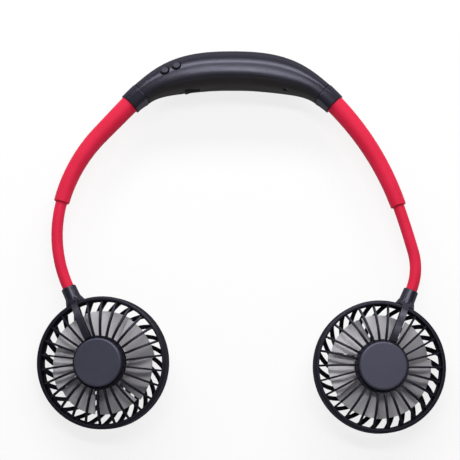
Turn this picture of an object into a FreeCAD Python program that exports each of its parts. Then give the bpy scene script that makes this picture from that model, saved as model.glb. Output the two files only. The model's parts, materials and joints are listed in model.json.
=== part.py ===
import FreeCAD, Part
import math
import os

# A neck fan lying on a table, front up: lengths in millimetres, angles in degrees.
# The neck's axis is Z through the origin, the body is at +Y and the two heads are at -Y.

# Neck body: a crescent that tapers from its middle to the two arms
body_outer_radius = 86.6
body_half_angle = 46.5
body_mid_thickness = 21.2
body_end_thickness = 12.0
body_mid_depth = 28.6
body_end_depth = 12.0
body_wall = 1.8
neck_side_share = 0.42
neck_side_exponent = 3.3
body_flat_rise = 1.65
body_flat_drop = 0.5
body_full_share = 0.3
section_points = 28
shell_sections = 9

# The neck-side cover closes the shell, and a collar ends it on each side
cover_depth_share = 0.825
seam_gap = 0.12
collar_start_angle = 39.9
collar_sections = 4
collar_step = 0.25
collar_groove_angle = 0.4
collar_groove_depth = 0.6
spigot_angle = 2.6

# Fits that are shared by many pieces
running_gap = 0.05
loose_gap = 0.2
overrun = 3.0
tolerance = 1e-6

# Push buttons on the front of the body, above the control board
button_angles = {"power_button": -27.8, "speed_button": -22.8}
button_tilt_angle = 28.0
button_radius = 2.4
button_gap = 0.4
button_proud = 1.0
button_edge = 0.9
button_seat_depth = 3.0
button_seat_radius = 3.9
button_seat_cover = 1.0
button_flange_radius = 3.1
button_flange = 0.8
button_stem_radius = 1.1
button_stem = 0.5
button_travel = 0.4

# Control board, its two switches and the posts that carry it
switch_size = (3.6, 3.0, 1.5)
switch_clearance = 0.1
board_length = 15.0
board_width = 8.6
board_thickness = 1.0
board_post_radius = 0.9
board_post_inset = 1.0

# Battery: a pouch cell that lies on the neck-side cover
cell_length = 36.0
cell_width = 15.6
cell_thickness = 9.6
cell_corner = 1.6

# Charging socket in the neck-side cover, on its own small board
socket_angle = -19.4
socket_width = 7.4
socket_height = 2.6
socket_depth = 4.2
socket_recess = 0.8
socket_wall = 0.35
socket_tongue = 0.7
socket_lip = 0.9
socket_lip_proud = 0.4
charge_board_width = 10.0
charge_board_depth = 9.5
charge_board_thickness = 0.8

# Screws that hold the cover to the shell
shell_screw_angle = 26.0
shell_screw_offset = 5.2
shell_screw_radius = 0.8
shell_screw_length = 6.0
shell_screw_head = 0.8
shell_screw_sink = 0.5
screw_head_radius = 1.7
screw_head = 1.1
screw_slot_share = 0.45
shell_post_radius = 2.1

# Arms: a grip sleeve, then a slimmer hose sleeve, on one gooseneck
grip_length = 69.8
grip_start_radius = 5.5
grip_end_radius = 4.45
grip_edge = 0.7
grip_overlap = 8.0
hose_length = 49.8
hose_radius = 3.25
hose_wall = 0.8
gooseneck_radius = 2.4
lead_radius = 0.6
lead_gap = 0.2
bend_share = 0.45
arc_shares = (1e-9, 0.5, 1)
lead_run = 6.0
lead_start_share = 0.46
lead_spread_share = 0.25
anchor_radius = 3.3
anchor_flange_radius = 4.0
anchor_flange = 1.3
anchor_inset = 1.0
hose_tail = 1.6

# The bends of each arm as it lies: a share of the length, and the turn towards the neck
arm_bend_shares = {
    "left": {"grip": ((0.35, 0.4), (0.65, 29.0)), "hose": ((1.0, 39.0),)},
    "right": {"grip": ((1.0, 25.0),), "hose": ((0.55, 3.5), (0.45, 38.0))},
}

# Gooseneck links: ball ends in cups, at these shares of the free hose
link_shares = (0.115, 0.365, 0.615, 0.865)
ball_radius = 1.8
ball_gap = 0.1
ball_neck_radius = 1.3
cup_lip = 0.3
link_shoulder = 1.9

# Fan heads, on a frame with the head's axis along Z and the arm along Y
head_radius = 37.0
head_twist_angles = {"left": 11.4, "right": 6.6}
rim_wall = 2.1
rim_front = 4.6
rim_rear = -6.2
rim_split = -1.0
rim_edge = 1.3
rim_lip_wall = 0.8
rim_lip = 1.4

# Front grille: flat-topped dome of thin ribs round the motor cup
rib_pitches = 26
front_rib_width = 1.05
front_rib_depth = 2.5
front_rib_slant_angle = 3.0
dome_knee_share = 0.68
front_dome_levels = (8.6, 7.7, 2.9)
hub_ring_width = 3.5
hub_ring_depth = 3.2
cup_wall = 1.3
cup_floor = 1.2

# Hub cap over the motor
cap_inset = 1.5
cap_height = 3.7
cap_edge = 1.0
cap_wall = 1.4

# Rear grille: swirled ribs round a flat disc
rear_rib_width = 2.3
rear_rib_depth = 2.4
rear_start_angle = 8.5
rear_swirl_angle = 32.8
rear_disc_radius = 16.5
rear_disc_gap = 2.1
rear_disc_thickness = 2.0
rear_disc_edge = 0.6
rear_dome_rises = (0.4, 2.4)
rear_rib_inset = 1.6

# Flat can motor, shaft towards the rear
motor_radius = 11.4
motor_length = 12.3
can_wall = 0.8
end_cap_thickness = 1.4
end_cap_boss = 2.0
end_cap_boss_radius = 3.6
shaft_radius = 1.0
shaft_proud = 0.2
bush_radius = 2.4
bush_length = 3.0
bush_gap = 0.03
bush_proud = 1.1
magnet_thickness = 2.2
magnet_angle = 130.0
armature_gap = 0.5
armature_poles = 3
armature_slot = 2.4
armature_core_radius = 4.2
armature_length = 5.8
motor_screw_radius = 0.8
motor_screw_circle = 7.0
motor_screw_length = 2.6

# Impeller: seven broad blades on a cup that turns round the motor cup
blade_count = 7
blade_cover_share = 1.03
blade_tip_gap = 6.1
blade_thickness = 1.1
blade_height = 9.4
blade_rise = 1.9
blade_camber = 1.3
blade_sweep_share = 0.32
blade_sections = 4
impeller_hub_gap = 0.6
impeller_hub_wall = 1.3
impeller_back = 2.0
impeller_back_gap = 0.4
impeller_boss_radius = 3.0
impeller_boss = 0.7

# Neck of a head: the socket for the arm and the duct that carries the leads to the motor
neck_length = 9.8
neck_mouth_radius = 4.2
neck_root_radius = 4.5
neck_edge = 0.5
neck_floor = 1.5
hose_seat = 4.0
ferrule_radius = 3.0
shoulder_height = 3.2
shoulder_radius = 6.5
shoulder_half_depth = 4.2
duct_width = 3.8
duct_depth = 4.2
duct_proud = 0.7
lead_levels = (0.0, 0.0, 2.9, 5.9, 7.1, 7.3)
lead_rise_share = 0.75

# Places that follow from the sizes above
cup_radius = motor_radius + running_gap
hub_ring_radius = cup_radius + hub_ring_width
cap_radius = hub_ring_radius - cap_inset
motor_front = front_dome_levels[0]
motor_rear = motor_front - motor_length
cup_rear = motor_rear - cup_floor
impeller_rear = cup_rear - screw_head - impeller_back_gap - impeller_back
blade_rear = impeller_rear + blade_rise
blade_front = blade_rear + blade_height
blade_tip_radius = head_radius - rim_wall - blade_tip_gap
rear_disc_level = impeller_rear - rear_disc_gap - rear_disc_thickness
rear_dome_levels = (
    rear_disc_level + rear_dome_rises[0],
    rear_disc_level + rear_dome_rises[1],
    rim_rear + rear_rib_inset,
)


SIDES = {"left": -1, "right": 1}
up = FreeCAD.Vector(0, 0, 1)


def vec(x, y, z=0.0):
    return FreeCAD.Vector(x, y, z)


def polar(angle, radius, level=0.0):
    """A point at an angle from +Y towards +X, about the neck's axis."""
    turn = math.radians(angle)
    return vec(radius * math.sin(turn), radius * math.cos(turn), level)


def rod(radius, start, end):
    return Part.makeCylinder(radius, (end - start).Length, start, end - start)


def ring(inner, outer, low, high):
    """A round sleeve about Z."""
    height = high - low
    tube = Part.makeCylinder(outer, height, vec(0, 0, low))
    return tube.cut(Part.makeCylinder(inner, height, vec(0, 0, low)))


def block(size, centre, x_axis, z_axis):
    """A box of that size about centre, on its own axes."""
    box = Part.makeBox(*size)
    box.translate(vec(*size) * -0.5)
    turn = FreeCAD.Rotation(x_axis, z_axis.cross(x_axis), z_axis, "ZXY")
    box.Placement = FreeCAD.Placement(centre, turn).multiply(box.Placement)
    return box


def revolved(edges):
    """The solid that a closed outline in the XZ plane sweeps about Z."""
    face = Part.Face(Part.Wire(edges))
    return face.revolve(vec(0, 0), up, 360)


def line(a, b):
    return Part.LineSegment(a, b).toShape()


def arc(a, b, c):
    return Part.Arc(a, b, c).toShape()


def rounded_path(points):
    """Straight runs through the points, joined by arcs as large as the shorter run allows."""
    edges = []
    last = points[0]
    for before, point, after in zip(points, points[1:], points[2:]):
        back = before - point
        ahead = after - point
        reach = bend_share * min(back.Length, ahead.Length)
        back.normalize()
        ahead.normalize()
        start = point + back * reach
        end = point + ahead * reach
        half = (math.pi - back.getAngle(ahead)) / 2
        bisector = (back + ahead).normalize()
        inside = reach * (1 / math.cos(half) - 1) / math.tan(half)
        edges += [line(last, start), arc(start, point + bisector * inside, end)]
        last = end
    edges.append(line(last, points[-1]))
    return Part.Wire(edges)


def piped(path, radius):
    """A round bar along a path."""
    start = path.Edges[0]
    at = start.valueAt(start.FirstParameter)
    heading = start.tangentAt(start.FirstParameter)
    circle = Part.Wire([Part.makeCircle(radius, at, heading)])
    return path.makePipeShell([circle], True, False)


def body_size(angle):
    """Thickness and depth of the neck body at an angle from its middle."""
    place = abs(angle) / body_half_angle
    taper = 1 - place ** 2
    thinned = max(0.0, (place - body_full_share) / (1 - body_full_share))
    full = 1 - thinned ** 2 * (3 - 2 * thinned)
    thickness = body_end_thickness + (body_mid_thickness - body_end_thickness) * full
    depth = body_end_depth + (body_mid_depth - body_end_depth) * taper
    return thickness, depth


def crest(angle):
    """Radius of the body's outermost line, which is flatter at its middle than a circle."""
    place = math.pi * angle / body_half_angle
    rise = body_flat_rise * math.sin(place) ** 2
    return body_outer_radius + rise - body_flat_drop * math.cos(place / 2) ** 2


def body_point(angle, turn, inset=0.0):
    """A point of the body's section: turn 0 is outermost, 90 the front and 180 the neck side."""
    thickness, depth = body_size(angle)
    widest = crest(angle) - thickness * (1 - neck_side_share)
    across = math.cos(math.radians(turn))
    along = math.sin(math.radians(turn))
    if across >= 0:
        radial = (thickness * (1 - neck_side_share) - inset) * across
        level = along
    else:
        radial = -(thickness * neck_side_share - inset) * abs(across) ** (2 / neck_side_exponent)
        level = math.copysign(abs(along) ** (2 / neck_side_exponent), along)
    return polar(angle, widest + radial, arm_level + (depth / 2 - inset) * level)


def body_loft(start, end, sections, inset=0.0):
    wires = []
    for i in range(sections):
        angle = start + (end - start) * i / (sections - 1)
        points = [body_point(angle, 360 * k / section_points, inset) for k in range(section_points)]
        curve = Part.BSplineCurve()
        curve.interpolate(points, PeriodicFlag=True)
        wires.append(Part.Wire(curve.toShape()))
    return Part.makeLoft(wires, True)


def radial_rod(radius, angle, level, inner, outer):
    return rod(radius, polar(angle, inner, level), polar(angle, outer, level))


class Route:
    """A flat path of tangent arcs from inside the body to the middle of a head."""

    def __init__(self, label):
        self.side = SIDES[label]
        arm_radius = body_outer_radius - body_end_thickness / 2
        inside_angle = body_half_angle - collar_start_angle + spigot_angle
        self.mouth = math.radians(inside_angle) * arm_radius + anchor_flange + hose_tail
        self.grip_end = self.mouth + grip_length
        self.hose_end = self.grip_end + hose_length
        self.centre = self.hose_end + neck_length + head_radius
        inside_turn = math.degrees(self.mouth / arm_radius)
        bends = [(self.mouth, inside_turn)]
        bends += [(grip_length * share, turn) for share, turn in arm_bend_shares[label]["grip"]]
        bends += [(hose_length * share, turn) for share, turn in arm_bend_shares[label]["hose"]]
        bends.append((neck_length + head_radius, 0.0))
        at = polar(self.side * (body_half_angle - inside_turn), arm_radius, arm_level)
        lean = 90 - body_half_angle + inside_turn
        travelled = 0.0
        self.arcs = []
        for length, turn in bends:
            self.arcs.append((travelled, length, at, lean, turn))
            at = self.walk(at, lean, turn / length, length)
            lean -= turn
            travelled += length
        self.end_lean = lean

    def walk(self, start, lean, rate, distance):
        """Where a path ends that starts with a lean from straight down and straightens at a rate."""
        before = math.radians(lean)
        after = math.radians(lean - rate * distance)
        if abs(before - after) < tolerance:
            step = vec(self.side * math.sin(before), -math.cos(before)) * distance
        else:
            radius = distance / (before - after)
            across = self.side * (math.cos(after) - math.cos(before))
            step = vec(across, math.sin(after) - math.sin(before)) * radius
        return start + step

    def piece(self, distance):
        for travelled, length, at, lean, turn in self.arcs:
            if distance <= travelled + length:
                break
        return at, lean, turn / length, distance - travelled

    def point(self, distance):
        return self.walk(*self.piece(distance))

    def heading(self, distance):
        at, lean, rate, along = self.piece(distance)
        turn = math.radians(lean - rate * along)
        return vec(self.side * math.sin(turn), -math.cos(turn))

    def across(self, distance):
        """Square to the path, in the plane that it lies in."""
        return self.heading(distance).cross(up)

    def wire(self, start, end):
        edges = []
        for travelled, length, at, lean, turn in self.arcs:
            low = max(start, travelled)
            high = min(end, travelled + length)
            if high - low < tolerance:
                continue
            a, b, c = (self.point(low + (high - low) * share) for share in arc_shares)
            edges.append(line(a, c) if turn == 0 else arc(a, b, c))
        return Part.Wire(edges)

    def bar(self, radius, start, end):
        return piped(self.wire(start, end), radius)

    def joint(self, index):
        return self.grip_end + hose_length * link_shares[index]


def seam_space(gap):
    """All that lies on the neck's side of the seam between shell and cover."""
    reach = collar_start_angle + spigot_angle
    low = -body_mid_depth / 2
    points = []
    for i in range(shell_sections):
        angle = reach * (2 * i / (shell_sections - 1) - 1)
        thickness, depth = body_size(angle)
        points.append(polar(angle, crest(angle) - thickness * cover_depth_share + gap, low))
    curve = Part.BSplineCurve()
    curve.interpolate(points)
    axis = vec(0, 0, low)
    outline = [curve.toShape(), line(points[-1], axis), line(axis, points[0])]
    return Part.Face(Part.Wire(outline)).extrude(up * 2 * body_mid_depth)


def make_shells():
    """The outer shell with its posts and button seats, and the neck-side cover."""
    whole = body_loft(-collar_start_angle, collar_start_angle, shell_sections)
    reach = collar_start_angle + spigot_angle
    cavity = body_loft(-reach, reach, shell_sections, body_wall)
    shell = whole.cut(cavity)
    core = body_loft(-collar_start_angle, collar_start_angle, shell_sections, body_wall / 2)
    neck_space = seam_space(0.0)
    gap_space = seam_space(seam_gap)
    outer = shell.cut(gap_space)
    cover = shell.common(neck_space)
    for side in SIDES.values():
        angle = side * shell_screw_angle
        level = arm_level + side * shell_screw_offset
        inner = screw_head_seat()
        tip = inner + shell_screw_length
        post = radial_rod(shell_post_radius, angle, level, inner, crest(angle))
        outer = outer.fuse(post.common(core).cut(gap_space))
        outer = outer.cut(radial_rod(shell_screw_radius, angle, level, inner - overrun, tip))
        head_space = radial_rod(screw_head_radius + loose_gap, angle, level, inner - overrun, inner)
        shank_space = radial_rod(shell_screw_radius + loose_gap, angle, level, inner - overrun, tip)
        cover = cover.cut(head_space).cut(shank_space)
    for name in button_angles:
        at, out = button_seat(name)
        seat = rod(button_seat_radius, at - out * button_seat_depth, at - out * button_seat_cover)
        outer = outer.fuse(seat.common(core))
    for name in button_angles:
        at, out = button_seat(name)
        under = at - out * (button_seat_depth + overrun)
        hole = rod(button_radius + button_gap, under, at + out * overrun)
        flange_space = rod(button_flange_radius + loose_gap, under, at - out * button_seat_depth)
        outer = outer.cut(hole).cut(flange_space)
    centre, along, out = board_frame()
    wide = out.cross(along)
    for end in (-1, 1):
        foot = centre + out * (board_thickness / 2)
        foot = foot + along * end * (board_length / 2 - board_post_inset)
        foot = foot + wide * (board_width / 2 - board_post_inset)
        post = rod(board_post_radius, foot, foot + out * body_mid_thickness)
        outer = outer.fuse(post.common(core).cut(gap_space))
    slot, lip = charge_slot()
    cover = cover.fuse(lip.cut(cavity)).cut(slot)
    return {"outer_shell": outer, "inner_shell": cover.removeSplitter()}


def screw_head_seat():
    """Radius of the step that a cover screw's head sits on."""
    thickness, depth = body_size(shell_screw_angle)
    return crest(shell_screw_angle) - thickness + shell_screw_sink + shell_screw_head


def make_shell_screws():
    screws = []
    for side in SIDES.values():
        angle = side * shell_screw_angle
        level = arm_level + side * shell_screw_offset
        seat = screw_head_seat()
        head = radial_rod(screw_head_radius, angle, level, seat - shell_screw_head, seat)
        shank = radial_rod(shell_screw_radius, angle, level, seat, seat + shell_screw_length)
        slot_size = (screw_head_radius * 2, shell_screw_head * screw_slot_share, shell_screw_head)
        slot = block(slot_size, polar(angle, seat - shell_screw_head, level), up, polar(angle, 1))
        screws.append(head.fuse(shank).cut(slot).removeSplitter())
    return Part.makeCompound(screws)


def button_out():
    """The way that the buttons point, square to the control board."""
    middle = sum(button_angles.values()) / len(button_angles)
    tilt = math.radians(button_tilt_angle)
    return polar(middle, math.sin(tilt), math.cos(tilt))


def button_seat(name):
    """The point of the body's surface under a button, and the way that the button points."""
    angle = button_angles[name]
    thickness, depth = body_size(angle)
    outer = thickness * (1 - neck_side_share)
    turn = math.degrees(math.atan2(depth / 2, outer * math.tan(math.radians(button_tilt_angle))))
    return body_point(angle, turn), button_out()


def make_button(name):
    at, out = button_seat(name)
    seat = at - out * (button_seat_depth + running_gap)
    flange_end = seat - out * button_flange
    top = at + out * button_proud
    cap = rod(button_radius, seat, top)
    cap = cap.makeFillet(button_edge, [e for e in cap.Edges if (e.CenterOfMass - top).Length < button_edge])
    flange = rod(button_flange_radius, flange_end, seat)
    centre, along, out = board_frame()
    reach = board_thickness / 2 + switch_size[2] + switch_clearance + button_travel
    stem_end = at - out * ((at - centre).dot(out) - reach)
    stem = rod(button_stem_radius, stem_end, flange_end)
    return cap.fuse([flange, stem]).removeSplitter()


def board_frame():
    """Centre of the control board, the way along it and the way out of its upper face."""
    seats = [button_seat(name)[0] for name in button_angles]
    out = button_out()
    middle = (seats[0] + seats[1]) * 0.5
    depth = middle.dot(out) - min(seat.dot(out) for seat in seats)
    depth += button_seat_depth + running_gap + button_flange + button_stem + button_travel
    depth += switch_clearance + switch_size[2] + board_thickness / 2
    along = (seats[1] - seats[0]).normalize()
    along = (along - out * along.dot(out)).normalize()
    return middle - out * depth, along, out


def make_control_board():
    centre, along, out = board_frame()
    return block((board_length, board_width, board_thickness), centre, along, out)


def make_switches():
    centre, along, out = board_frame()
    level = board_thickness / 2 + switch_size[2] / 2
    switches = []
    for name in button_angles:
        at, out = button_seat(name)
        offset = at - centre
        foot = centre + offset - out * offset.dot(out)
        switches.append(block(switch_size, foot + out * level, along, out))
    return Part.makeCompound(switches)


def cell_level():
    """Y of the face of the cell whose long edges lie on the neck-side cover."""
    widest = crest(0) - body_mid_thickness * (1 - neck_side_share)
    reach = body_mid_thickness * neck_side_share - body_wall
    level_share = cell_width / (body_mid_depth - 2 * body_wall)
    drop = reach * (1 - level_share ** neck_side_exponent) ** (1 / neck_side_exponent)
    return widest - drop + running_gap


def make_cell():
    size = (cell_length, cell_thickness, cell_width)
    centre = vec(0, cell_level() + cell_thickness / 2, arm_level)
    cell = block(size, centre, vec(1, 0), up)
    long_edges = [e for e in cell.Edges if abs(e.tangentAt(e.FirstParameter).x) > 0.5]
    return cell.makeFillet(cell_corner, long_edges)


def socket_frame():
    """Centre of the charging socket's mouth, the way along the body and the way inward."""
    thickness, depth = body_size(socket_angle)
    mouth = polar(socket_angle, crest(socket_angle) - thickness - socket_lip_proud, arm_level)
    return mouth, polar(socket_angle + 90, 1), polar(socket_angle, 1)


def charge_slot():
    """The hole for the charging socket in the cover, and the lip round it."""
    mouth, along, inward = socket_frame()
    length = socket_depth + overrun
    hole_size = (socket_width + 2 * loose_gap, socket_height + 2 * loose_gap, length + overrun)
    slot = block(hole_size, mouth + inward * (length - overrun) / 2, along, inward)
    lip_size = (hole_size[0] + 2 * socket_lip, hole_size[1] + 2 * socket_lip, length)
    lip = block(lip_size, mouth + inward * length / 2, along, inward)
    long_edges = [e for e in lip.Edges if abs(e.tangentAt(e.FirstParameter).dot(inward)) > 0.5]
    return slot, lip.makeFillet(socket_lip, long_edges)


def make_charge_socket():
    mouth, along, inward = socket_frame()
    size = (socket_width, socket_height, socket_depth)
    mouth = mouth + inward * socket_recess
    shell = block(size, mouth + inward * socket_depth / 2, along, inward)
    hollow_size = (socket_width - 2 * socket_wall, socket_height - 2 * socket_wall, socket_depth)
    hollow = block(hollow_size, mouth + inward * (socket_depth / 2 - socket_wall), along, inward)
    tongue_size = (socket_width / 2, socket_tongue, socket_depth - socket_wall)
    tongue = block(tongue_size, mouth + inward * (socket_depth + socket_wall) / 2, along, inward)
    return shell.cut(hollow).fuse(tongue).removeSplitter()


def make_charge_board():
    mouth, along, inward = socket_frame()
    size = (charge_board_width, charge_board_thickness, charge_board_depth)
    below = -(socket_height + charge_board_thickness) / 2
    start = socket_lip_proud + body_wall + loose_gap
    board = block(size, mouth + inward * (start + charge_board_depth / 2) + up * below, along, inward)
    inside = body_loft(-collar_start_angle, collar_start_angle, shell_sections, body_wall + loose_gap)
    return board.common(inside)


def make_battery_leads():
    """Two leads from the cell's end to the front of the charging board."""
    mouth, along, inward = socket_frame()
    board_face = arm_level - socket_height / 2
    leads = []
    for side in SIDES.values():
        height = cell_level() + cell_thickness / 2 + side * cell_thickness * lead_spread_share
        start = vec(-cell_length / 2 - running_gap, height, arm_level + lead_run / 2)
        turn = start - vec(lead_run / 2, 0)
        place = socket_depth + charge_board_depth * (lead_start_share + side * lead_spread_share / 2)
        end = mouth + inward * place
        end = vec(end.x, end.y, board_face + lead_radius + running_gap)
        leads.append(piped(rounded_path([start, turn, end]), lead_radius))
    return Part.makeCompound(leads)


def make_body_lead(label, route):
    """The motor lead inside the body, from the charging board to the arm."""
    mouth, along, inward = socket_frame()
    end = route.point(0)
    run_in = end - route.heading(0) * lead_run
    start = mouth + inward * (socket_depth + charge_board_depth * lead_start_share)
    start = start - up * (socket_height + charge_board_thickness) / 2
    if label == "left":
        start = start - along * (charge_board_width / 2 + running_gap)
        return piped(rounded_path([start, start - along * lead_run / 2, run_in, end]), lead_radius)
    start = start - up * (charge_board_thickness / 2 + lead_radius + running_gap)
    beside = (cell_length + lead_run) / 2
    height = cell_level() + cell_thickness / 2
    behind = arm_level - cell_width / 2 - 2 * loose_gap - lead_radius
    points = [
        start,
        vec(-beside, height, behind),
        vec(0, height, behind - lead_radius),
        vec(beside, height, behind),
        run_in,
        end,
    ]
    return piped(rounded_path(points), lead_radius)


def make_collar(label, route):
    """The cuff between the shells and an arm, with a spigot inside the shells."""
    side = SIDES[label]
    groove_end = collar_start_angle + collar_groove_angle
    cuff = body_loft(side * groove_end, side * body_half_angle, collar_sections, -collar_step)
    land = body_loft(
        side * collar_start_angle, side * (groove_end + collar_groove_angle), collar_sections,
        collar_groove_depth,
    )
    reach = collar_start_angle + spigot_angle
    sector = Part.makeCylinder(
        2 * body_outer_radius, 2 * body_mid_depth, vec(0, 0, -body_mid_depth / 2), up, 2 * spigot_angle
    )
    sector.rotate(vec(0, 0), up, 90 - side * collar_start_angle - spigot_angle)
    spigot = body_loft(-reach, reach, shell_sections, body_wall + loose_gap).common(sector)
    bore = route.bar(anchor_radius + running_gap, 0, route.mouth + overrun)
    return cuff.fuse([land, spigot]).cut(bore).removeSplitter()


def make_anchor(route):
    """The flanged ferrule that clamps the gooseneck in its collar."""
    sleeve = route.bar(anchor_radius, hose_tail, route.mouth - anchor_inset)
    flange = route.bar(anchor_flange_radius, hose_tail, hose_tail + anchor_flange - running_gap)
    bore = route.bar(gooseneck_radius + running_gap, 0, route.mouth + overrun)
    return sleeve.fuse(flange).cut(bore).removeSplitter()


def make_grip_sleeve(route):
    """The thick, tapered silicone grip, with a step that takes the hose sleeve."""
    path = route.wire(route.mouth, route.grip_end)
    first = Part.makeCircle(grip_start_radius, route.point(route.mouth), route.heading(route.mouth))
    last = Part.makeCircle(grip_end_radius, route.point(route.grip_end), route.heading(route.grip_end))
    grip = path.makePipeShell([Part.Wire([first]), Part.Wire([last])], True, False)
    grip = grip.makeFillet(grip_edge, [e for e in grip.Edges if e.Closed and is_end(e, route)])
    step = route.grip_end - grip_overlap
    grip = grip.cut(route.bar(gooseneck_radius + running_gap, route.mouth - overrun, step + overrun))
    return grip.cut(route.bar(hose_radius + running_gap, step, route.grip_end + overrun))


def is_end(edge, route):
    """True for the edge round the lower end of a grip sleeve."""
    return (edge.CenterOfMass - route.point(route.grip_end)).Length < grip_edge


def make_hose_sleeve(route):
    start = route.grip_end - grip_overlap + running_gap
    end = route.hose_end + hose_seat - running_gap
    sleeve = route.bar(hose_radius, start, end)
    return sleeve.cut(route.bar(hose_radius - hose_wall, start - overrun, end + overrun))


def ball_end(route, index):
    """The ball that ends a length of gooseneck, on its slimmer neck."""
    centre = route.point(route.joint(index))
    heading = route.heading(route.joint(index))
    neck = rod(ball_neck_radius, centre - heading * link_shoulder * 2, centre)
    return Part.makeSphere(ball_radius, centre, heading).fuse(neck)


def ball_space(route, index):
    place = route.joint(index)
    return Part.makeSphere(ball_radius + ball_gap, route.point(place), route.heading(place))


def lead_bore(route):
    return route.bar(lead_radius + lead_gap, 0, route.hose_end + neck_length)


def make_gooseneck(route):
    """The fixed length of gooseneck, from the anchor to the first ball."""
    length = route.bar(gooseneck_radius, hose_tail / 2, route.joint(0) - link_shoulder)
    return length.fuse(ball_end(route, 0)).cut(lead_bore(route)).removeSplitter()


def make_link(route, index):
    """One length of gooseneck: a cup round the ball before it, and a ball of its own."""
    start = route.joint(index) - cup_lip
    length = route.bar(gooseneck_radius, start, route.joint(index + 1) - link_shoulder)
    link = length.fuse(ball_end(route, index + 1)).cut(ball_space(route, index))
    return link.cut(lead_bore(route)).removeSplitter()


def make_end_ferrule(route):
    """The last length of gooseneck and the ferrule that turns in a head's socket."""
    last = len(link_shares) - 1
    seat = route.hose_end + hose_seat
    length = route.bar(gooseneck_radius, route.joint(last) - cup_lip, seat + running_gap)
    ferrule = route.bar(ferrule_radius, seat, route.hose_end + neck_length - neck_floor - running_gap)
    return length.fuse(ferrule).cut(ball_space(route, last)).cut(lead_bore(route)).removeSplitter()


def make_arm_lead(route):
    return route.bar(lead_radius, 0, route.hose_end + neck_length - neck_floor)


def dome_shell(levels, inner, outer, depth):
    """A domed sheet of revolution through three levels, as deep as its ribs."""
    knee = inner + (outer - inner) * dome_knee_share
    top = [vec(r, 0, z) for r, z in zip((inner, knee, outer), levels)]
    low = [p - up * depth for p in top]
    outline = [
        arc(*top),
        line(top[2], low[2]),
        arc(low[2], low[1], low[0]),
        line(low[0], top[0]),
    ]
    return revolved(outline)


def rounded_rim(low, high, round_high):
    """Half of the rim, with the outer edge of its free end rounded."""
    rim = ring(head_radius - rim_wall, head_radius, low, high)
    end = high if round_high else low
    edges = [e for e in rim.Edges if e.Closed and abs(e.CenterOfMass.z - end) < tolerance]
    outer = [e for e in edges if e.Curve.Radius > head_radius - rim_wall / 2]
    return rim.makeFillet(rim_edge, outer)


def through(radius):
    """A cylinder on a head's axis that passes all of the head."""
    return Part.makeCylinder(radius, 4 * head_radius, vec(0, 0, -2 * head_radius))


def rib_span():
    """Radii between which the ribs of both grilles run, ends buried in their rings."""
    return hub_ring_radius - cup_wall, head_radius - rim_wall / 2


def make_front_grille():
    inner, outer = rib_span()
    slabs = []
    for i in range(1, rib_pitches):
        slab = Part.makeBox(
            outer - inner + overrun, front_rib_width, 4 * head_radius,
            vec(inner, -front_rib_width / 2, -2 * head_radius),
        )
        slab.rotate(vec(inner, 0), up, front_rib_slant_angle)
        slab.rotate(vec(0, 0), up, 90 + 360 * i / rib_pitches)
        slabs.append(slab)
    ribs = dome_shell(front_dome_levels, inner, outer, front_rib_depth).common(Part.makeCompound(slabs))
    rim = rounded_rim(rim_split, rim_front, True)
    front = motor_front
    cup = ring(cup_radius, cup_radius + cup_wall, cup_rear, front)
    floor = ring(bush_radius + loose_gap, cup_radius + cup_wall, cup_rear, motor_rear)
    hub_ring = ring(cup_radius, hub_ring_radius, front - hub_ring_depth, front)
    grille = rim.fuse([cup, floor, hub_ring] + ribs.Solids)
    grille = grille.cut(duct_bar(running_gap).cut(through(hub_ring_radius)))
    grille = grille.cut(rim_block(running_gap, rim_split - overrun, rim_front + overrun))
    grille = grille.cut(lead_channel())
    for at in motor_screw_places():
        hole = rod(motor_screw_radius + running_gap, at - up * overrun, at + up * overrun)
        grille = grille.cut(hole)
    return grille.removeSplitter()


def rear_rib(index):
    """One swirled rib in plan, a band along an arc, as tall as the head."""
    inner = rear_disc_radius - rim_wall / 2
    outer = head_radius - rim_wall / 2
    start = rear_start_angle + 360 * index / rib_pitches
    middle = (inner + outer) / 2
    points = []
    for radius in (inner, middle, outer):
        swirl = rear_swirl_angle * (radius - inner) / (outer - inner)
        points.append(polar(start + swirl, radius, -2 * head_radius))
    curve = arc(*points).Curve
    centre = curve.Center
    band = []
    for offset in (-rear_rib_width / 2, rear_rib_width / 2):
        band.append([centre + (p - centre) * (1 + offset / curve.Radius) for p in points])
    near, far = band
    outline = [arc(*near), line(near[2], far[2]), arc(far[2], far[1], far[0]), line(far[0], near[0])]
    return Part.Face(Part.Wire(outline)).extrude(up * 4 * head_radius)


def make_rear_grille():
    inner = rear_disc_radius - rim_wall / 2
    outer = head_radius - rim_wall / 2
    top_levels = [z + rear_rib_depth for z in rear_dome_levels]
    dome = dome_shell(top_levels, inner, outer, rear_rib_depth)
    ribs = dome.common(Part.makeCompound([rear_rib(i) for i in range(rib_pitches)]))
    rim = rounded_rim(rim_rear, rim_split, False)
    lip_radius = head_radius - rim_wall - running_gap
    lip = ring(lip_radius - rim_lip_wall, lip_radius, rim_split - rim_lip, rim_split + rim_lip)
    lip_foot = ring(lip_radius - rim_lip_wall, head_radius - rim_wall / 2, rim_split - rim_lip, rim_split)
    disc = Part.makeCylinder(rear_disc_radius, rear_disc_thickness, vec(0, 0, rear_disc_level))
    edges = [e for e in disc.Edges if e.Closed and abs(e.CenterOfMass.z - rear_disc_level) < tolerance]
    disc = disc.makeFillet(rear_disc_edge, edges)
    return rim.fuse([lip, lip_foot, disc] + ribs.Solids).removeSplitter()


def make_hub_cap():
    """The smooth disc over the motor, hollow behind."""
    low = motor_front
    cap = Part.makeCylinder(cap_radius, cap_height, vec(0, 0, low))
    cap = cap.makeFillet(cap_edge, [e for e in cap.Edges if e.Closed and e.CenterOfMass.z > low + cap_wall])
    hollow = Part.makeCylinder(cap_radius - cap_wall, cap_height - cap_wall, vec(0, 0, low))
    return cap.cut(hollow)


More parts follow.
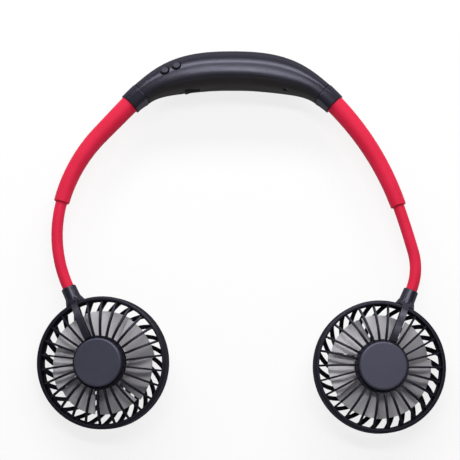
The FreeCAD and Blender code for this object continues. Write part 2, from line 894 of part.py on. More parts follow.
def motor_screw_places():
    """Where the motor's screws pass the floor of the cup."""
    level = cup_rear
    return [vec(side * motor_screw_circle, 0, level) for side in SIDES.values()]


def make_motor_screws():
    screws = []
    for at in motor_screw_places():
        head = rod(screw_head_radius, at - up * screw_head, at)
        shank = rod(motor_screw_radius, at, at + up * motor_screw_length)
        slot_size = (2 * screw_head_radius, screw_head * screw_slot_share, screw_head)
        slot = block(slot_size, at - up * screw_head, vec(1, 0), up)
        screws.append(head.fuse(shank).cut(slot).removeSplitter())
    return Part.makeCompound(screws)


def make_motor_can():
    rear = motor_rear
    top = motor_front - end_cap_thickness
    can = ring(motor_radius - can_wall, motor_radius, rear, top)
    floor = ring(bush_radius, motor_radius, rear, rear + can_wall)
    can = can.fuse(floor)
    for at in motor_screw_places():
        can = can.cut(rod(motor_screw_radius + running_gap, at, at + up * (cup_floor + overrun)))
    return can.removeSplitter()


def make_magnets():
    """Two curved magnets inside the can."""
    outer = motor_radius - can_wall - running_gap
    low = motor_rear + can_wall + loose_gap + motor_screw_length - cup_floor
    high = motor_front - end_cap_thickness - loose_gap
    magnets = []
    for side in SIDES.values():
        magnet = Part.makeCylinder(outer, high - low, vec(0, 0, low), up, magnet_angle)
        magnet = magnet.cut(Part.makeCylinder(outer - magnet_thickness, high - low, vec(0, 0, low)))
        magnet.rotate(vec(0, 0), up, 90 + side * 90 - magnet_angle / 2)
        magnets.append(magnet)
    return Part.makeCompound(magnets)


def make_end_cap():
    front = motor_front
    cap = ring(bush_radius, motor_radius, front - end_cap_thickness, front)
    boss = ring(bush_radius, end_cap_boss_radius, front - end_cap_thickness - end_cap_boss, front)
    return cap.fuse(boss).removeSplitter()


def make_bushes():
    bore = shaft_radius + bush_gap
    front = motor_front
    rear = motor_rear - bush_proud
    return Part.makeCompound(
        [
            ring(bore, bush_radius, front - bush_length, front),
            ring(bore, bush_radius, rear, rear + bush_length),
        ]
    )


def make_shaft():
    rear = impeller_rear - shaft_proud
    return Part.makeCylinder(shaft_radius, motor_front - rear, vec(0, 0, rear))


def make_armature():
    """A three-pole armature on the shaft, with its slots."""
    radius = motor_radius - can_wall - running_gap - magnet_thickness - armature_gap
    front = motor_front - end_cap_thickness - end_cap_boss
    rear = motor_rear - bush_proud + bush_length
    middle = (front + rear) / 2
    low = middle - armature_length / 2
    core = ring(shaft_radius, radius, low, low + armature_length)
    for i in range(armature_poles):
        slot = Part.makeBox(
            radius, armature_slot, armature_length,
            vec(armature_core_radius, -armature_slot / 2, low),
        )
        slot.rotate(vec(0, 0), up, 360 * i / armature_poles)
        core = core.cut(slot)
    return core


def impeller_hub_radius():
    return cup_radius + cup_wall + impeller_hub_gap + impeller_hub_wall


def blade_outline(radius):
    """The blade's section on a plane square to its span: a cambered strip, leading edge forward."""
    half = radius * math.tan(math.radians(180 / blade_count * blade_cover_share))
    sweep = (radius - impeller_hub_radius()) * blade_sweep_share
    low = [
        vec(radius, sweep - half, blade_rear),
        vec(radius, sweep, (blade_front + blade_rear) / 2 + blade_camber),
        vec(radius, sweep + half, blade_front - blade_thickness),
    ]
    high = [p + up * blade_thickness for p in low]
    edges = [arc(*low), line(low[2], high[2]), arc(high[2], high[1], high[0]), line(high[0], low[0])]
    return Part.Wire(edges)


def make_impeller():
    hub_radius = impeller_hub_radius()
    inner = hub_radius - impeller_hub_wall
    wall = ring(inner, hub_radius, impeller_rear, blade_front)
    back = ring(shaft_radius, hub_radius, impeller_rear, impeller_rear + impeller_back)
    boss_top = impeller_rear + impeller_back + impeller_boss
    boss = ring(shaft_radius, impeller_boss_radius, impeller_rear, boss_top)
    root = hub_radius - impeller_hub_wall / 2
    tip = blade_tip_radius + blade_thickness
    step = (tip - root) / (blade_sections - 1)
    blade = Part.makeLoft([blade_outline(root + step * i) for i in range(blade_sections)], True)
    height = blade_front - impeller_rear
    trim = Part.makeCylinder(blade_tip_radius, height, vec(0, 0, impeller_rear))
    trim = trim.cut(Part.makeCylinder(root, height, vec(0, 0, impeller_rear)))
    blade = blade.common(trim)
    blades = []
    for i in range(blade_count):
        copy = blade.copy()
        copy.rotate(vec(0, 0), up, 360 * i / blade_count)
        blades.append(copy)
    return wall.fuse([back, boss] + blades).removeSplitter()


def duct_bar(gap=0.0):
    """The lead duct from the hub ring over the rim, with an optional gap all round."""
    inner, outer = rib_span()
    knee = inner + (outer - inner) * dome_knee_share
    end = head_radius + shoulder_height / 2
    rise = (front_dome_levels[2] - front_dome_levels[1]) / (outer - knee)
    levels = (front_dome_levels[0], front_dome_levels[1], front_dome_levels[2] + rise * (end - outer) / 2)
    top = [vec(0, r, z + duct_proud + gap) for r, z in zip((inner, knee, end), levels)]
    low = [p - up * (duct_depth + 2 * gap) for p in top]
    outline = [arc(*top), line(top[2], low[2]), arc(low[2], low[1], low[0]), line(low[0], top[0])]
    width = duct_width + 2 * gap
    bar = Part.Face(Part.Wire(outline)).extrude(vec(width, 0))
    bar.translate(vec(-width / 2, 0))
    return bar


def rim_block(gap, low, high):
    """The block of the neck that closes the gap in the front rim."""
    width = duct_width + 2 * gap
    inner = head_radius - rim_wall - gap
    length = rim_wall + gap + shoulder_height / 2
    return Part.makeBox(width, length, high - low, vec(-width / 2, inner, low))


def lead_points():
    """The motor lead's way from the socket's floor to the motor's end cap."""
    floor = head_radius + neck_floor - running_gap
    rise = head_radius * lead_rise_share
    end = motor_radius + 2 * running_gap
    places = (floor, floor - neck_floor / 2, head_radius - rim_wall, rise, hub_ring_radius, end)
    return [vec(0, y, z) for y, z in zip(places, lead_levels)]


def lead_channel():
    points = lead_points()
    start = points[0] + (points[0] - points[1]).normalize() * overrun / 2
    return piped(rounded_path([start] + points[1:]), lead_radius + lead_gap)


def make_head_neck():
    """The arm's socket, its shoulder on the rim and the lead duct to the hub."""
    mouth = head_radius + neck_length
    floor = head_radius + neck_floor
    root = vec(0, head_radius - rim_wall / 2)
    socket = Part.makeCone(neck_root_radius, neck_mouth_radius, mouth - root.y, root, vec(0, 1))
    mouth_edges = [e for e in socket.Edges if e.Closed and e.CenterOfMass.y > mouth - neck_edge]
    socket = socket.makeFillet(neck_edge, mouth_edges)
    inside = vec(0, head_radius - rim_wall)
    flare = Part.makeCone(shoulder_radius, neck_root_radius, rim_wall + shoulder_height, inside, vec(0, 1))
    slab_size = (4 * head_radius, 4 * head_radius, 2 * shoulder_half_depth)
    shoulder = flare.common(block(slab_size, vec(0, 0), vec(1, 0), up))
    neck = socket.fuse([shoulder])
    neck = neck.cut(through(head_radius + running_gap))
    hub_space = through(hub_ring_radius + running_gap)
    block_low = rim_split + running_gap
    neck = neck.fuse([duct_bar().cut(hub_space), rim_block(0.0, block_low, rim_front)])
    neck = neck.cut(rod(hose_radius + running_gap, vec(0, mouth - hose_seat), vec(0, mouth + overrun)))
    neck = neck.cut(rod(ferrule_radius + running_gap, vec(0, floor), vec(0, mouth)))
    return neck.cut(lead_channel()).removeSplitter()


def make_motor_lead():
    return piped(rounded_path(lead_points()), lead_radius)


def head_place(label, route):
    """Where a head sits: its axis through the end of the arm's route, twisted about the arm."""
    side = SIDES[label]
    lean = FreeCAD.Rotation(up, side * route.end_lean)
    twist = FreeCAD.Rotation(vec(0, 1), side * head_twist_angles[label])
    return FreeCAD.Placement(route.point(route.centre), lean.multiply(twist))


def head_drop():
    """How far below the arm the twisted heads reach."""
    drops = []
    for twist in head_twist_angles.values():
        turn = math.radians(twist)
        inner = rear_disc_radius - rim_wall / 2
        outer = head_radius - rim_wall / 2
        knee = inner + (outer - inner) * dome_knee_share
        profile = [(rear_disc_radius - rear_disc_edge, rear_disc_level), (head_radius, rim_rear)]
        dome = arc(*(vec(r, 0, z) for r, z in zip((inner, knee, outer), rear_dome_levels)))
        profile += [(p.x, p.z) for p in dome.discretize(section_points)]
        drops.append(max(r * math.sin(turn) - z * math.cos(turn) for r, z in profile))
    return max(drops)


def build():
    pieces = make_shells()
    pieces["shell_screws"] = make_shell_screws()
    pieces["battery_cell"] = make_cell()
    pieces["control_board"] = make_control_board()
    pieces["tact_switches"] = make_switches()
    pieces["charge_board"] = make_charge_board()
    pieces["charge_socket"] = make_charge_socket()
    pieces["battery_leads"] = make_battery_leads()
    for name in button_angles:
        pieces[name] = make_button(name)
    head = {
        "front_grille": make_front_grille(),
        "rear_grille": make_rear_grille(),
        "head_neck": make_head_neck(),
        "hub_cap": make_hub_cap(),
        "motor_can": make_motor_can(),
        "motor_magnets": make_magnets(),
        "motor_end_cap": make_end_cap(),
        "motor_bushes": make_bushes(),
        "motor_screws": make_motor_screws(),
        "motor_lead": make_motor_lead(),
        "motor_shaft": make_shaft(),
        "motor_armature": make_armature(),
        "impeller": make_impeller(),
    }
    for label in SIDES:
        route = Route(label)
        pieces[label + "_body_lead"] = make_body_lead(label, route)
        pieces[label + "_collar"] = make_collar(label, route)
        pieces[label + "_anchor_ferrule"] = make_anchor(route)
        pieces[label + "_grip_sleeve"] = make_grip_sleeve(route)
        pieces[label + "_hose_sleeve"] = make_hose_sleeve(route)
        pieces[label + "_arm_lead"] = make_arm_lead(route)
        pieces[label + "_gooseneck"] = make_gooseneck(route)
        for i in range(len(link_shares) - 1):
            pieces[label + "_gooseneck_link_" + str(i + 1)] = make_link(route, i)
        pieces[label + "_end_ferrule"] = make_end_ferrule(route)
        place = head_place(label, route)
        for name, shape in head.items():
            placed = shape.copy()
            placed.Placement = place.multiply(placed.Placement)
            pieces[label + "_" + name] = placed
    return pieces


arm_level = max(body_mid_depth / 2, head_drop())

if __name__ == "__main__":
    os.makedirs("parts", exist_ok=True)
    for name, shape in build().items():
        print(name, len(shape.Solids), shape.isValid(), round(shape.Volume, 2))
        shape.exportStep("parts/" + name + ".step")
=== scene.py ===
import json
import math

import bmesh
import bpy
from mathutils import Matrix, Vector


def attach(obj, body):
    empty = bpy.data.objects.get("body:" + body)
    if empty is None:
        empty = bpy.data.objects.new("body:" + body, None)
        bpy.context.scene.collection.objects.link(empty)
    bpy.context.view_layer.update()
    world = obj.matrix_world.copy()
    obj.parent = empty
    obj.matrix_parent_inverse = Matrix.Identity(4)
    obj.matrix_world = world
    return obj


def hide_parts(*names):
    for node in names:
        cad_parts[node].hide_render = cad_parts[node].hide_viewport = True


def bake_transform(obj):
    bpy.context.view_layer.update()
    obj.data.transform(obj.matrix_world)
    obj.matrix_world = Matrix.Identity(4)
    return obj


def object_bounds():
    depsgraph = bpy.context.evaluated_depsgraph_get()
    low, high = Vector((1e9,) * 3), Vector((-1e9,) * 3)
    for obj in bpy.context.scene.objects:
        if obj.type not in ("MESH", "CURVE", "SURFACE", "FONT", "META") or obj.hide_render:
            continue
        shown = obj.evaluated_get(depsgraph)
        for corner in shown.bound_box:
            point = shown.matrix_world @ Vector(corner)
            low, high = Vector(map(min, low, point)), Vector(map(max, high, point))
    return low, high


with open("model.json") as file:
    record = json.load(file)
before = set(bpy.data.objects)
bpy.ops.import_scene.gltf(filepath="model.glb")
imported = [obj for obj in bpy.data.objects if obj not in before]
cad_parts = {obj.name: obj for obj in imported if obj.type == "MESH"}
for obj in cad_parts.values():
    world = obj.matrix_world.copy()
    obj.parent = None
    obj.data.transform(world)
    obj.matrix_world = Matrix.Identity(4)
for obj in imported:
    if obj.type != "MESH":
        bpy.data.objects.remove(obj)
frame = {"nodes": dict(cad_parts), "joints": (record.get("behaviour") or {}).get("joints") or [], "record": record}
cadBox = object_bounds()
print("frame loaded:", len(frame["nodes"]), "nodes")


class Tone:  # one shader value: sums and products of it add Math nodes
    def __init__(self, paint, socket):
        self.paint = paint
        self.socket = socket

    def maths(self, operation, a, b):
        return self.paint.node("ShaderNodeMath", {"operation": operation}, {0: a, 1: b})

    def __add__(self, other):
        return self.maths("ADD", self, other)

    def __radd__(self, other):
        return self.maths("ADD", other, self)

    def __sub__(self, other):
        return self.maths("SUBTRACT", self, other)

    def __rsub__(self, other):
        return self.maths("SUBTRACT", other, self)

    def __mul__(self, other):
        return self.maths("MULTIPLY", self, other)

    def __rmul__(self, other):
        return self.maths("MULTIPLY", other, self)


class Paint:  # the nodes of one material, or of the world
    def __init__(self, tree, output):
        self.tree = tree
        self.tree.nodes.clear()
        self.output = self.tree.nodes.new(output)

    def node(self, kind, settings=None, inputs=None, output=0):
        made = self.tree.nodes.new(kind)
        for key, value in (settings or {}).items():
            if key == "stops":  # places and grey levels of a ramp
                for stop, (place, level) in zip(made.color_ramp.elements, value):
                    stop.position = place
                    stop.color = (level, level, level, 1)
            else:
                setattr(made, key, value)
        for key, value in (inputs or {}).items():
            if isinstance(value, Tone):
                self.tree.links.new(value.socket, made.inputs[key])
            else:
                made.inputs[key].default_value = value
        return Tone(self, made.outputs[output])

    def colour(self, factor, a, b):
        a, b = (c if isinstance(c, Tone) else (*c, 1) for c in (a, b))
        return self.node("ShaderNodeMix", {"data_type": "RGBA"}, {0: factor, 6: a, 7: b}, 2)

    def noise(self, where, scale, detail, roughness=0.5):
        inputs = {"Vector": where, "Scale": scale, "Detail": detail, "Roughness": roughness}
        return self.node("ShaderNodeTexNoise", {}, inputs)

    def between(self, value, low, high):  # 0 below low, 1 above high
        return self.node("ShaderNodeValToRGB", {"stops": [(low, 0), (high, 1)]}, {0: value})

    def surface(self, shader):
        self.tree.links.new(shader.socket, self.output.inputs["Surface"])


def newFinish(name):
    material = bpy.data.materials.new(name)
    material.use_nodes = True
    return material, Paint(material.node_tree, "ShaderNodeOutputMaterial")


def swing(noise, amount):  # a noise from 0 to 1 as a change either way
    noiseMiddle = 0.5
    return (noise - noiseMiddle) * amount


moulding = {  # what the moulded plastics share
    "grainDetail": 3, "grainMix": 0.6, "grainDepth": 0.0002, "mottleDetail": 4, "mottleSpread": 0.1,
    "dustDetail": 1, "dustRange": (0.74, 0.8), "dustColour": (0.5, 0.48, 0.46),
    "edgeSamples": 4, "wornRange": (0.02, 0.3), "wornPolish": 0.06,
}


def mouldedPlastic(name, look):  # fine grain, mottling, worn edges, dust and a share of metal flake
    material, paint = newFinish(name)
    where = paint.node("ShaderNodeTexCoord", output="Object")
    grain = paint.noise(where, look["grainScale"], moulding["grainDetail"], moulding["grainMix"])
    mottle = paint.noise(where, look["mottleScale"], moulding["mottleDetail"])
    specks = paint.noise(where, look["dustScale"], moulding["dustDetail"])
    dust = paint.between(specks, *moulding["dustRange"])
    edge = {"Radius": look["edge"]}
    edgeNormal = paint.node("ShaderNodeBevel", {"samples": moulding["edgeSamples"]}, edge)
    faceNormal = paint.node("ShaderNodeNewGeometry", output="Normal")
    normals = {0: edgeNormal, 1: faceNormal}
    facing = paint.node("ShaderNodeVectorMath", {"operation": "DOT_PRODUCT"}, normals, "Value")
    worn = paint.between(1 - facing, *moulding["wornRange"])
    body = paint.colour(mottle, look["dark"], look["light"])
    body = paint.colour(worn * look["wear"], body, look["worn"])
    body = paint.colour(dust * look["dust"], body, moulding["dustColour"])
    rough = look["rough"] + swing(grain, look["roughSpread"]) + swing(mottle, moulding["mottleSpread"])
    rough = rough - worn * moulding["wornPolish"]
    relief = {"Strength": look["bump"], "Distance": moulding["grainDepth"], "Height": grain}
    relief["Normal"] = edgeNormal
    skin = {"Roughness": rough, "Normal": paint.node("ShaderNodeBump", {}, relief)}
    resin = {**skin, "Base Color": body, "Specular IOR Level": look["clear"]}
    flake = {**skin, "Base Color": look["flake"], "Metallic": 1}
    resin = paint.node("ShaderNodeBsdfPrincipled", {}, resin)
    flake = paint.node("ShaderNodeBsdfPrincipled", {}, flake)
    paint.surface(paint.node("ShaderNodeMixShader", {}, {0: look["gloss"], 1: resin, 2: flake}))
    return material


rubber = {  # what makes the silicone's skin
    "grainDetail": 3, "grainMix": 0.65, "grainDepth": 0.0002, "grainSpread": 0.12,
    "bloomDetail": 5, "bloomMix": 0.6, "bloomRange": (0.3, 0.7), "bloomSpread": 0.2,
    "lintDetail": 1.5, "lintRange": (0.75, 0.8), "lintColour": (0.85, 0.6, 0.6), "sheenRough": 0.4,
}


def softSilicone(name, look):  # matt skin with a powdery bloom and a little lint
    material, paint = newFinish(name)
    where = paint.node("ShaderNodeTexCoord", output="Object")
    grain = paint.noise(where, look["grainScale"], rubber["grainDetail"], rubber["grainMix"])
    bloom = paint.noise(where, look["bloomScale"], rubber["bloomDetail"], rubber["bloomMix"])
    fluff = paint.noise(where, look["lintScale"], rubber["lintDetail"])
    lint = paint.between(fluff, *rubber["lintRange"])
    body = paint.colour(paint.between(bloom, *rubber["bloomRange"]), look["dark"], look["light"])
    body = paint.colour(lint * look["lint"], body, rubber["lintColour"])
    rough = look["rough"] + swing(bloom, rubber["bloomSpread"]) + swing(grain, rubber["grainSpread"])
    relief = {"Strength": look["bump"], "Distance": rubber["grainDepth"], "Height": grain}
    shader = {
        "Base Color": body,
        "Roughness": rough,
        "Normal": paint.node("ShaderNodeBump", {}, relief),
        "Sheen Weight": look["sheen"],
        "Sheen Roughness": rubber["sheenRough"],
        "Specular IOR Level": look["gloss"],
    }
    paint.surface(paint.node("ShaderNodeBsdfPrincipled", {}, shader))
    return material


tooling = {  # what the metals share
    "lineDetail": 2, "lineSpread": 0.16, "lineStrength": 0.2, "lineDepth": 0.0001,
    "tarnishDetail": 5, "tarnishMix": 0.6, "tarnishRange": (0.35, 0.75), "tarnishRough": 0.12,
}


def workedMetal(name, look):  # fine tool lines under a thin tarnish
    material, paint = newFinish(name)
    where = paint.node("ShaderNodeTexCoord", output="Object")
    lines = paint.noise(where, look["lineScale"], tooling["lineDetail"])
    tarnish = paint.noise(where, look["tarnishScale"], tooling["tarnishDetail"], tooling["tarnishMix"])
    film = paint.between(tarnish, *tooling["tarnishRange"])
    rough = look["rough"] + swing(lines, tooling["lineSpread"]) + tarnish * tooling["tarnishRough"]
    relief = {"Strength": tooling["lineStrength"], "Distance": tooling["lineDepth"], "Height": lines}
    shader = {
        "Base Color": paint.colour(film, look["light"], look["dark"]),
        "Roughness": rough,
        "Normal": paint.node("ShaderNodeBump", {}, relief),
        "Metallic": look["metal"],
    }
    paint.surface(paint.node("ShaderNodeBsdfPrincipled", {}, shader))
    return material


charcoal = {
    "dark": (0.0055, 0.005, 0.0095), "light": (0.0085, 0.008, 0.0145), "worn": (0.03, 0.029, 0.04),
    "wear": 0.5, "dust": 0.04, "rough": 0.32, "roughSpread": 0.12, "bump": 0.1, "edge": 0.0004,
    "gloss": 0.058, "clear": 0, "flake": (0.81, 0.795, 1, 1),
    "grainScale": 5200, "mottleScale": 130, "dustScale": 1900,
}
hubCharcoal = {**charcoal, "dark": (0.034, 0.033, 0.053), "light": (0.044, 0.043, 0.066), "rough": 0.4}
grilleCharcoal = {
    **charcoal, "dark": (0.0055, 0.005, 0.009), "light": (0.0085, 0.008, 0.0135),
    "rough": 0.4, "gloss": 0.025, "edge": 0.00025,
}
neckSidePlasticAndPaintedShade = {  # no flake: a dull, more neutral face; its darkness is partly the plastic's own and partly painted shade for the face turned to the neck
    **charcoal, "dark": (0.026, 0.024, 0.026), "light": (0.034, 0.031, 0.034), "worn": (0.06, 0.057, 0.06),
    "rough": 0.72, "roughSpread": 0.1, "bump": 0.22, "gloss": 0, "clear": 0.1, "wear": 0.25,
}
bladeGrey = {
    **charcoal, "dark": (0.56, 0.54, 0.575), "light": (0.67, 0.65, 0.685), "worn": (0.76, 0.74, 0.76),
    "dust": 0.02, "rough": 0.5, "flake": (1, 1, 1, 1),
}
boardGreen = {
    **charcoal, "dark": (0.01, 0.07, 0.03), "light": (0.015, 0.11, 0.045), "worn": (0.3, 0.28, 0.16),
}
capWhite = {
    **charcoal, "dark": (0.66, 0.66, 0.62), "light": (0.74, 0.74, 0.7), "worn": (0.85, 0.85, 0.82),
}
crimson = {
    "dark": (0.66, 0.013, 0.05), "light": (0.74, 0.018, 0.066), "rough": 0.58, "bump": 0.08,
    "sheen": 0.02, "gloss": 0.14, "lint": 0.06, "grainScale": 4200, "bloomScale": 60, "lintScale": 2600,
}
plated = {
    "light": (0.62, 0.62, 0.64), "dark": (0.36, 0.36, 0.38), "rough": 0.28, "metal": 1.0,
    "lineScale": 3000, "tarnishScale": 240,
}
blackSteel = {**plated, "light": (0.03, 0.03, 0.034), "dark": (0.016, 0.016, 0.018), "rough": 0.4}
brass = {**plated, "light": (0.75, 0.55, 0.22), "dark": (0.42, 0.28, 0.11)}
gooseneckSteel = {**plated, "light": (0.5, 0.5, 0.52), "dark": (0.28, 0.28, 0.3), "rough": 0.35}
cellFoil = {**plated, "rough": 0.38, "metal": 0.9, "lineScale": 900, "tarnishScale": 90}
copper = {**plated, "light": (0.62, 0.24, 0.1), "dark": (0.36, 0.12, 0.05), "metal": 0.8}
finishes = {  # the record's material slots
    "shell": (mouldedPlastic, charcoal),
    # the cover's dull finish: partly its own plastic, partly painted shade
    "cover": (mouldedPlastic, neckSidePlasticAndPaintedShade),
    "grille": (mouldedPlastic, grilleCharcoal),
    "hub": (mouldedPlastic, hubCharcoal),
    "button": (mouldedPlastic, {**charcoal, "rough": 0.46, "bump": 0.2}),
    "blade": (mouldedPlastic, bladeGrey),
    "board": (mouldedPlastic, boardGreen),
    "switch": (mouldedPlastic, {**charcoal, "rough": 0.5}),
    "lead": (mouldedPlastic, {**charcoal, "rough": 0.55, "wear": 0.1}),
    "end_cap": (mouldedPlastic, capWhite),
    "magnet": (mouldedPlastic, {**charcoal, "rough": 0.6, "bump": 0.4}),
    "silicone": (softSilicone, crimson),
    "steel": (workedMetal, plated),
    "black_steel": (workedMetal, blackSteel),
    "brass": (workedMetal, brass),
    "gooseneck": (workedMetal, gooseneckSteel),
    "cell": (workedMetal, cellFoil),
    "winding": (workedMetal, copper),
}
paints = {slot: make(slot + "Finish", look) for slot, (make, look) in finishes.items()}
for entry in frame["record"]["subparts"]:
    node = frame["nodes"][entry["node"]]
    node.data.materials.clear()
    node.data.materials.append(paints[entry["material_slot"]])
print("finishes made:", len(paints))


armShape = {  # metres and degrees: lengths of the bends and their turns towards the neck
    "mouthRadius": 0.0806, "mouthAngle": 46.5,
    "left": {"side": -1, "grip": ((0.02443, 0.4), (0.04537, 29.0)), "hose": ((0.0498, 39.0),)},
    "right": {"side": 1, "grip": ((0.0698, 25.0),), "hose": ((0.02739, 3.5), (0.02241, 38.0))},
    "past": (1.0, 0.0),  # straight on beyond the hose
}
joints = {joint["name"]: joint for joint in frame["joints"]}
up = Vector((0, 0, 1))


def armPoint(label, distance):  # place and heading at a distance from the collar's mouth
    side = armShape[label]["side"]
    lean = math.radians(90 - armShape["mouthAngle"])
    level = joints[label + "_arm_swing_1"]["pos_m"][2]
    at = Vector((side * math.cos(lean), math.sin(lean), 0)) * armShape["mouthRadius"] + up * level
    for length, turn in (*armShape[label]["grip"], *armShape[label]["hose"], armShape["past"]):
        step = min(length, distance)
        half = math.radians(turn) * step / length / 2
        chord = step * math.sin(half) / half if half else step
        at += Vector((side * math.sin(lean - half), -math.cos(lean - half), 0)) * chord
        lean -= 2 * half
        distance -= step
        if distance <= 0:
            break
    return at, Vector((side * math.sin(lean), -math.cos(lean), 0))


tube = {"ring": 0.0011, "sharpAngle": 40}  # spacing of the rings, and the least turn of a hard edge


def bentTube(name, label, profile, around, capped=False):  # rings along an arm: (distance, radius) each
    mesh = bmesh.new()
    turns = [2 * math.pi * k / around for k in range(around)]
    rings = []
    for distance, radius in profile:
        at, heading = armPoint(label, distance)
        across = heading.cross(up)
        spokes = [across * math.cos(turn) + up * math.sin(turn) for turn in turns]
        rings.append([mesh.verts.new(at + spoke * radius) for spoke in spokes])
    pairs = list(zip(rings, rings[1:]))
    if capped:
        mesh.faces.new(rings[0])
        mesh.faces.new(rings[-1])
    else:
        pairs.append((rings[-1], rings[0]))
    for near, far in pairs:
        for k in range(around):
            n = (k + 1) % around
            mesh.faces.new((near[k], near[n], far[n], far[k]))
    bmesh.ops.recalc_face_normals(mesh, faces=mesh.faces)
    for face in mesh.faces:
        face.smooth = True
    for edge in mesh.edges:
        edge.smooth = edge.calc_face_angle(0) < math.radians(tube["sharpAngle"])
    data = bpy.data.meshes.new(name)
    mesh.to_mesh(data)
    mesh.free()
    piece = bpy.data.objects.new(name, data)
    bpy.context.collection.objects.link(piece)
    return piece


def along(start, end, radius, endRadius=None):  # profile of an even or tapered stretch
    count = max(2, round(abs(end - start) / tube["ring"]))
    change = (radius if endRadius is None else endRadius) - radius
    return [(start + (end - start) * i / count, radius + change * i / count) for i in range(count + 1)]


gripSleeve = {  # bore is round the core, step is the wider part of it that takes the slim sleeve
    "start": 0.0055, "end": 0.00445, "bore": 0.00245, "step": 0.0033, "overlap": 0.008,
    "lip": 0.0007, "lipRings": 6, "mouthGap": 0.00015, "endBevel": 0.0002, "stepBevel": 0.0001,
    "around": 56,
}
hoseSleeve = {  # bendReach finds points either way from each joint, which nothing uses further
    "radius": 0.00325, "wall": 0.0008, "around": 40, "stepGap": 0.0001, "seated": 0.0039,
    "bendReach": 0.0056, "leadRadius": 0.0006, "leadAround": 13,
    "linkShares": (0.115, 0.365, 0.615, 0.865),  # places of the joints along the slim sleeve
}
for label in ("left", "right"):
    gripLength = sum(length for length, turn in armShape[label]["grip"])
    hoseLength = sum(length for length, turn in armShape[label]["hose"])
    step = gripLength - gripSleeve["overlap"]

    lip = gripSleeve["lip"]
    profile = along(gripSleeve["mouthGap"], gripLength - lip, gripSleeve["start"], gripSleeve["end"])
    for i in range(1, gripSleeve["lipRings"] + 1):  # rounded lower edge
        turn = math.pi / 2 * i / gripSleeve["lipRings"]
        distance = gripLength - lip + lip * math.sin(turn)
        profile.append((distance, gripSleeve["end"] - lip + lip * math.cos(turn)))
    profile += along(gripLength - gripSleeve["endBevel"], step, gripSleeve["step"])
    profile += along(step - gripSleeve["stepBevel"], gripSleeve["mouthGap"], gripSleeve["bore"])
    grip = bentTube(label + "GripSleeve", label, profile, gripSleeve["around"])
    grip.data.materials.append(paints["silicone"])
    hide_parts(label + "_grip_sleeve")
    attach(grip, "neck_body")

    bends = [gripLength + hoseLength * share for share in hoseSleeve["linkShares"]]
    cuts = [(a + b) / 2 for a, b in zip(bends, bends[1:])]
    cuts = [step + hoseSleeve["stepGap"], *cuts, gripLength + hoseLength + hoseSleeve["seated"]]
    bodies = ["neck_body", *(label + "_link_" + str(i) for i in (1, 2, 3)), label + "_arm_end"]
    outer = hoseSleeve["radius"]
    inner = outer - hoseSleeve["wall"]
    for i, bend in enumerate(bends):
        near, far = cuts[i], cuts[i + 1]
        number = str(i + 1)
        profile = along(near, far, outer) + along(far, near, inner)
        skin = bentTube(label + "HoseSleeve" + number, label, profile, hoseSleeve["around"])
        profile = along(near, far, hoseSleeve["leadRadius"])
        lead = bentTube(label + "ArmLead" + number, label, profile, hoseSleeve["leadAround"], capped=True)
        start = armPoint(label, bend - hoseSleeve["bendReach"])[0]
        end = armPoint(label, bend + hoseSleeve["bendReach"])[0]
        for piece, slot, node in ((skin, "silicone", "_hose_sleeve"), (lead, "lead", "_arm_lead")):
            piece.data.materials.append(paints[slot])
            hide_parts(label + node)
            bodies[i + 1]
            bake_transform(piece)
print("arm sleeves made")


studio = {
    "floorColour": (0.94, 0.94, 0.94, 1), "white": (1, 1, 1, 1), "shadowShare": 0.2,
    "worldStrength": 0.22, "reach": 6.0, "backdropDrop": 0.2,
    "lamps": {  # place, width, depth, watts
        "frontStrip": ((0.06, 0.29, 1.02), 0.8, 0.1, 4.6),
        "backStrip": ((0.0, 0.88, 0.68), 1.8, 0.28, 13.0),
    },
}
whiteKinds = ("Is Camera Ray", "Is Glossy Ray", "Is Transmission Ray")  # rays that ask for the background


def raysOf(paint, *kinds):  # 1 for a ray of one of these kinds
    lightPath = paint.tree.nodes.new("ShaderNodeLightPath")
    return sum(Tone(paint, lightPath.outputs[kind]) for kind in kinds)


def stageSheet(name, height, material):
    square = ((-1, -1), (1, -1), (1, 1), (-1, 1))
    corners = [(x * studio["reach"], y * studio["reach"], height) for x, y in square]
    mesh = bpy.data.meshes.new(name)
    mesh.from_pydata(corners, [], [(0, 1, 2, 3)])
    mesh.materials.append(material)
    sheet = bpy.data.objects.new(name, mesh)
    bpy.context.collection.objects.link(sheet)


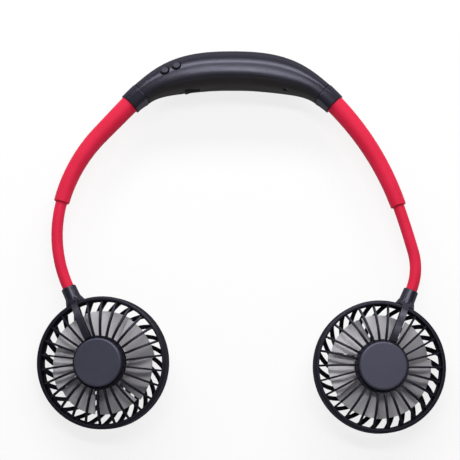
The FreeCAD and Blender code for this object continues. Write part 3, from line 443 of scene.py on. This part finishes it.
# the floor is matt for the shadow and clear for the rest, so that a lowered head still shows
material, paint = newFinish("floorFinish")
matt = paint.node("ShaderNodeBsdfDiffuse", {}, {"Color": studio["floorColour"]})
clear = paint.node("ShaderNodeBsdfTransparent")
through = raysOf(paint, *whiteKinds, "Is Shadow Ray") * (1 - studio["shadowShare"])
paint.surface(paint.node("ShaderNodeMixShader", {}, {0: through, 1: matt, 2: clear}))
stageSheet("studioFloor", cadBox[0][2], material)  # as low as the lowest grille

# the backdrop under it is what the clear share shows: plain white
material, paint = newFinish("backdropFinish")
matt = paint.node("ShaderNodeBsdfDiffuse", {}, {"Color": studio["floorColour"]})
glow = paint.node("ShaderNodeEmission", {}, {"Color": studio["white"], "Strength": 1})
paint.surface(paint.node("ShaderNodeMixShader", {}, {0: raysOf(paint, *whiteKinds), 1: matt, 2: glow}))
stageSheet("studioBackdrop", cadBox[0][2] - studio["backdropDrop"], material)

world = bpy.data.worlds.new("studioWorld")
bpy.context.scene.world = world
world.use_nodes = True
paint = Paint(world.node_tree, "ShaderNodeOutputWorld")
ambient = {"Color": studio["white"], "Strength": studio["worldStrength"]}
paint.surface(paint.node("ShaderNodeBackground", {}, ambient))

for name, (place, width, depth, watts) in studio["lamps"].items():
    lamp = bpy.data.lights.new(name, "AREA")
    lamp.shape = "RECTANGLE"
    lamp.size = width
    lamp.size_y = depth
    lamp.energy = watts
    holder = bpy.data.objects.new(name, lamp)
    holder.location = place
    holder.rotation_euler = (-Vector(place)).to_track_quat("-Z", "Y").to_euler()
    bpy.context.collection.objects.link(holder)

shot = {
    "target": (-0.00127, -0.0175, 0.01645), "elevation": 80, "distance": 1.1,
    "focalPixels": 1947, "imagePixels": 460, "sensorWidth": 36,
}
camera = bpy.data.objects.new("photoCamera", bpy.data.cameras.new("photoCamera"))
bpy.context.collection.objects.link(camera)
camera.data.sensor_width = shot["sensorWidth"]
camera.data.lens = shot["sensorWidth"] * shot["focalPixels"] / shot["imagePixels"]
rise = math.radians(shot["elevation"])
camera.location = Vector(shot["target"]) + Vector((0, -math.cos(rise), math.sin(rise))) * shot["distance"]
camera.rotation_euler = (math.pi / 2 - rise, 0, 0)
bpy.context.scene.camera = camera
bpy.context.scene.view_settings.view_transform = "Standard"
print("studio ready")
